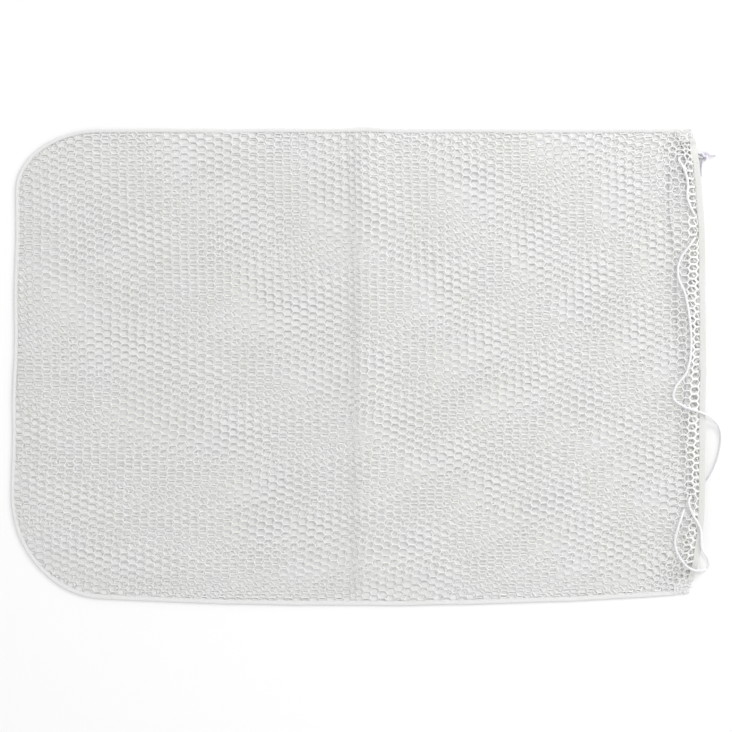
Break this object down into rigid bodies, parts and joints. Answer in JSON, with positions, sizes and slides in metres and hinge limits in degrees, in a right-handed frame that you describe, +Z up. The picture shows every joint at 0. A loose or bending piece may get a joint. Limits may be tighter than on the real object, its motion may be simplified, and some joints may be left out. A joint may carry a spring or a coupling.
{
  "type": "mesh laundry bag",
  "caption": "Flat mesh laundry bag: net layers sewn round three sides, open at the mouth, with a knotted drawcord threaded through the net.",
  "frame": {"origin": "middle of the bag's outline, drawcord left out, on the plane that the bag lies on", "axes": "+X from the closed end to the mouth, +Y towards the side that the knot is on, +Z up, away from the plane that the bag lies on"},
  "size_m": [0.9276, 0.6219, 0.0142],
  "materials": {
    "net": "warp-knitted hexagon net, white",
    "thread": "overlock stitching, white",
    "hem": "turned and overlocked net edge, white",
    "cord": "braided cord, white"
  },
  "bodies": {
    "root": {"back_net_panel": "net", "front_net_panel": "net", "perimeter_overlock_seam": "thread", "back_mouth_hem": "hem", "front_mouth_hem": "hem", "upper_mouth_bartack": "thread", "lower_mouth_bartack": "thread", "drawcord": "cord"},
    "pull_knot": {"drawcord_knot": "cord", "upper_cord_tail": "cord", "lower_cord_tail": "cord"}
  },
  "joints": [
    {"name": "cord_pull", "type": "slide", "parent": "root", "child": "pull_knot", "axis": [1, 0, 0], "range_m": [0, 0.15], "deforming": ["drawcord"]}
  ]
}
